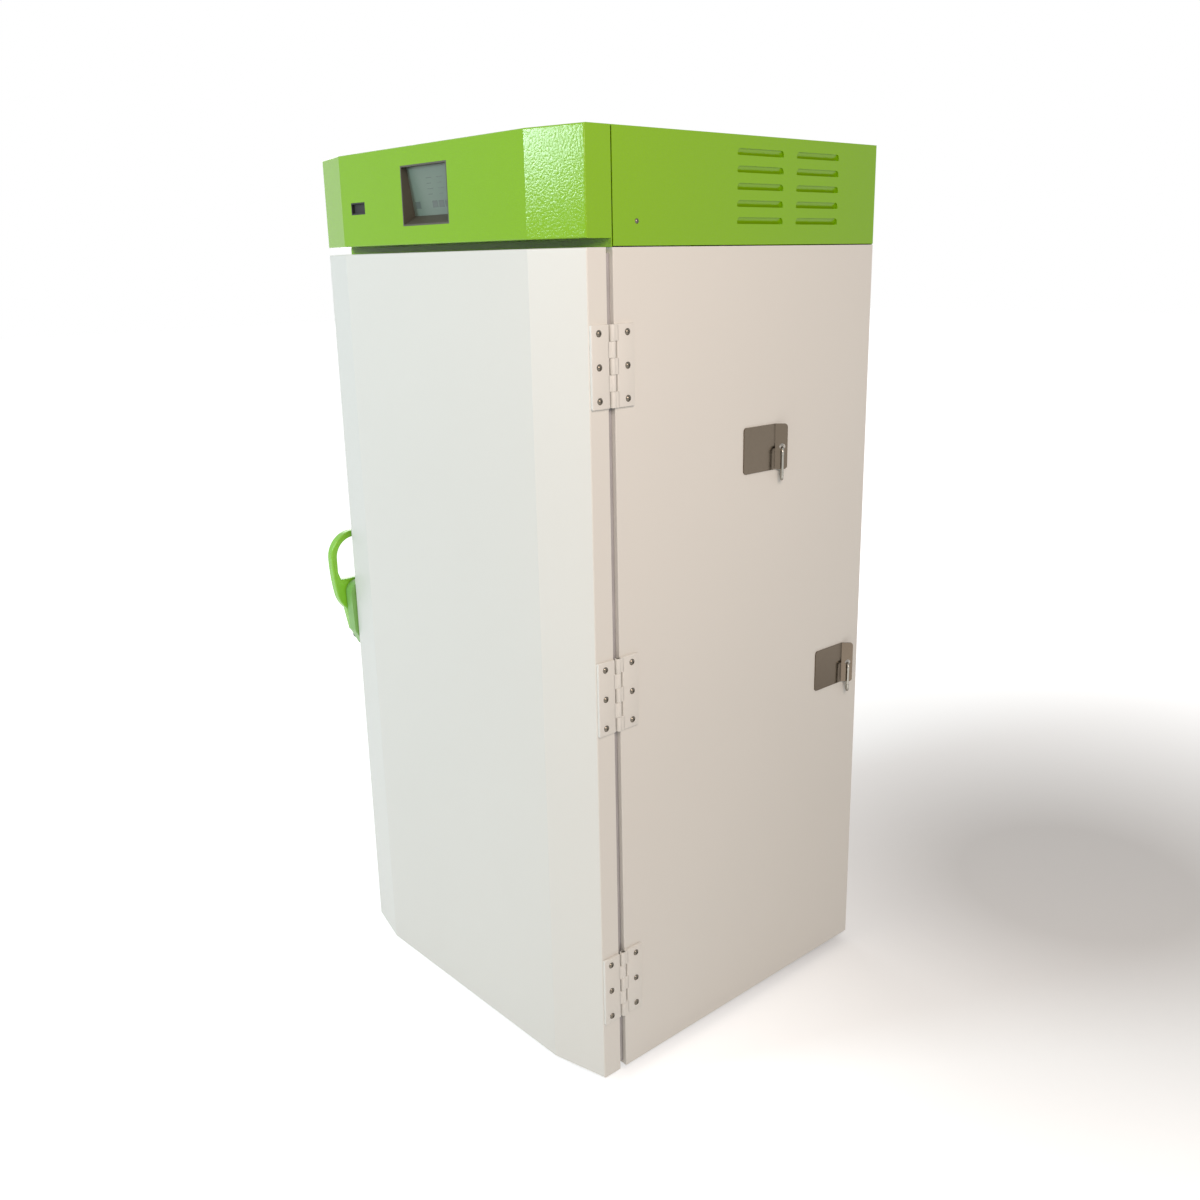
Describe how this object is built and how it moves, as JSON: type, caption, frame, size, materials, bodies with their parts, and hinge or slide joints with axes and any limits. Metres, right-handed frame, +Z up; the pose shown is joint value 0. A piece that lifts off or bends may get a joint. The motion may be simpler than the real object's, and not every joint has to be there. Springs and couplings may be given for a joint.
{
  "type": "ultra low temperature freezer",
  "caption": "Upright ultra low temperature freezer with a chamfered insulated door, side latch handle, three butt hinges, inner doors and a louvred green machine header with a screen",
  "frame": {"origin": "on the floor, below the centre of the object's box", "axes": "+Z up, -Y towards the door's front, +X towards the hinge side"},
  "size_m": [0.94, 0.845, 1.856],
  "materials": {
    "white_powder_coat": "satin orange-peel powder coat",
    "green_powder_coat": "glossy orange-peel powder coat",
    "green_handle": "smooth moulded",
    "pale_green_plastic": "smooth moulded",
    "foam": "rigid foam",
    "stainless_steel": "brushed",
    "white_plastic": "fine grain",
    "grey_rubber": "matte",
    "bright_steel": "polished",
    "zinc_steel": "zinc plated",
    "black_plastic": "fine grain",
    "dark_grey_plastic": "fine grain",
    "screen_glass": "glossy liquid-crystal screen",
    "copper_aluminium": "drawn tube and cast block",
    "circuit_board": "solder mask",
    "grey_wheel_rubber": "matte"
  },
  "bodies": {
    "cabinet": {"side_panel_left": "white_powder_coat", "side_panel_right": "white_powder_coat", "rear_panel": "white_powder_coat", "top_panel": "white_powder_coat", "base_pan": "white_powder_coat", "insulation": "foam", "liner": "stainless_steel", "throat_frame": "white_plastic", "shelf_ledges": "stainless_steel", "shelves": "stainless_steel", "inner_door_brackets": "stainless_steel", "thermosiphon": "copper_aluminium", "hinge_cabinet_leaves": "white_powder_coat", "hinge_pins": "bright_steel", "cabinet_screws": "bright_steel", "latch_strike": "stainless_steel", "side_brackets": "stainless_steel", "header_front_cover": "green_powder_coat", "header_side_right": "green_powder_coat", "header_side_left": "green_powder_coat", "header_top": "green_powder_coat", "header_grille": "green_powder_coat", "screen_bezel": "dark_grey_plastic", "display_panel": "screen_glass", "data_port": "black_plastic", "cooler": "zinc_steel", "fan_frame": "black_plastic", "control_board": "circuit_board", "power_supply": "zinc_steel", "mains_inlet": "black_plastic", "access_plug": "grey_rubber", "base_sockets": "zinc_steel", "rear_forks": "zinc_steel"},
    "door": {"door_skin": "white_powder_coat", "door_insulation": "foam", "door_inner_panel": "white_plastic", "door_gasket": "grey_rubber", "hinge_door_leaves": "white_powder_coat", "door_screws": "bright_steel", "latch_base": "pale_green_plastic", "latch_pin": "bright_steel"},
    "lever": {"latch_lever": "green_handle", "latch_hook": "stainless_steel"},
    "lock": {"key_lock": "black_plastic"},
    "inner_door_1": {"inner_door_1": "white_plastic"},
    "inner_door_2": {"inner_door_2": "white_plastic"},
    "inner_door_3": {"inner_door_3": "white_plastic"},
    "inner_door_4": {"inner_door_4": "white_plastic"},
    "swivel_left": {"front_fork_left": "zinc_steel"},
    "front_wheel_left": {"front_wheel_left": "grey_wheel_rubber"},
    "foot_left": {"levelling_foot_left": "bright_steel"},
    "swivel_right": {"front_fork_right": "zinc_steel"},
    "front_wheel_right": {"front_wheel_right": "grey_wheel_rubber"},
    "foot_right": {"levelling_foot_right": "bright_steel"},
    "rear_wheels": {"rear_wheels": "grey_wheel_rubber"},
    "fan": {"fan_rotor": "black_plastic"},
    "hook_front": {"snap_hook_front": "bright_steel"},
    "gate_front": {"snap_gate_front": "bright_steel"},
    "hook_rear": {"snap_hook_rear": "bright_steel"},
    "gate_rear": {"snap_gate_rear": "bright_steel"}
  },
  "joints": [
    {"name": "door_hinge", "type": "hinge", "parent": "cabinet", "child": "door", "pos_m": [0.45197, -0.3305, 0.8475], "axis": [0, 0, 1], "range_deg": [0, 120]},
    {"name": "lever_turn", "type": "hinge", "parent": "door", "child": "lever", "pos_m": [-0.46003, -0.3655, 0.887], "axis": [1, 0, 0], "range_deg": [-8, 45]},
    {"name": "lock_turn", "type": "hinge", "parent": "door", "child": "lock", "pos_m": [-0.44953, -0.3675, 0.771], "axis": [1, 0, 0], "range_deg": [0, 90]},
    {"name": "inner_door_1_hinge", "type": "hinge", "parent": "cabinet", "child": "inner_door_1", "pos_m": [0.37547, -0.3005, 0.35525], "axis": [0, 0, 1], "range_deg": [0, 90]},
    {"name": "inner_door_2_hinge", "type": "hinge", "parent": "cabinet", "child": "inner_door_2", "pos_m": [0.37547, -0.3005, 0.70575], "axis": [0, 0, 1], "range_deg": [0, 90]},
    {"name": "inner_door_3_hinge", "type": "hinge", "parent": "cabinet", "child": "inner_door_3", "pos_m": [0.37547, -0.3005, 1.05625], "axis": [0, 0, 1], "range_deg": [0, 90]},
    {"name": "inner_door_4_hinge", "type": "hinge", "parent": "cabinet", "child": "inner_door_4", "pos_m": [0.37547, -0.3005, 1.40675], "axis": [0, 0, 1], "range_deg": [0, 90]},
    {"name": "swivel_left_turn", "type": "hinge", "parent": "cabinet", "child": "swivel_left", "pos_m": [-0.31653, -0.2125, 0.095], "axis": [0, 0, 1], "continuous": true},
    {"name": "front_wheel_left_spin", "type": "hinge", "parent": "swivel_left", "child": "front_wheel_left", "pos_m": [-0.31653, -0.1845, 0.0395], "axis": [1, 0, 0], "continuous": true},
    {"name": "foot_left_height", "type": "slide", "parent": "cabinet", "child": "foot_left", "axis": [0, 0, 1], "range_m": [0, 0.012]},
    {"name": "swivel_right_turn", "type": "hinge", "parent": "cabinet", "child": "swivel_right", "pos_m": [0.34347, -0.2125, 0.095], "axis": [0, 0, 1], "continuous": true},
    {"name": "front_wheel_right_spin", "type": "hinge", "parent": "swivel_right", "child": "front_wheel_right", "pos_m": [0.34347, -0.1845, 0.0395], "axis": [1, 0, 0], "continuous": true},
    {"name": "foot_right_height", "type": "slide", "parent": "cabinet", "child": "foot_right", "axis": [0, 0, 1], "range_m": [0, 0.012]},
    {"name": "rear_wheels_spin", "type": "hinge", "parent": "cabinet", "child": "rear_wheels", "pos_m": [0.01347, 0.3065, 0.0375], "axis": [1, 0, 0], "continuous": true},
    {"name": "fan_spin", "type": "hinge", "parent": "cabinet", "child": "fan", "pos_m": [-0.36853, 0.1325, 1.757], "axis": [1, 0, 0], "continuous": true},
    {"name": "hook_front_swing", "type": "hinge", "parent": "cabinet", "child": "hook_front", "pos_m": [0.46031, 0.12158, 1.2638], "axis": [0.7071, -0.7071, 0], "range_deg": [0, 60]},
    {"name": "gate_front_press", "type": "hinge", "parent": "hook_front", "child": "gate_front", "pos_m": [0.46698, 0.11491, 1.21534], "axis": [-0.7071, -0.7071, 0], "range_deg": [0, 6], "stiffness_Nm_per_rad": 0.02},
    {"name": "hook_rear_swing", "type": "hinge", "parent": "cabinet", "child": "hook_rear", "pos_m": [0.46031, 0.36858, 0.7398], "axis": [0.7071, -0.7071, 0], "range_deg": [0, 60]},
    {"name": "gate_rear_press", "type": "hinge", "parent": "hook_rear", "child": "gate_rear", "pos_m": [0.46698, 0.36191, 0.69134], "axis": [-0.7071, -0.7071, 0], "range_deg": [0, 6], "stiffness_Nm_per_rad": 0.02}
  ],
  "couplings": [
    {"joint": "inner_door_1_hinge", "follows": "door_hinge", "ratio": 0.75},
    {"joint": "inner_door_2_hinge", "follows": "door_hinge", "ratio": 0.75},
    {"joint": "inner_door_3_hinge", "follows": "door_hinge", "ratio": 0.75},
    {"joint": "inner_door_4_hinge", "follows": "door_hinge", "ratio": 0.75}
  ]
}
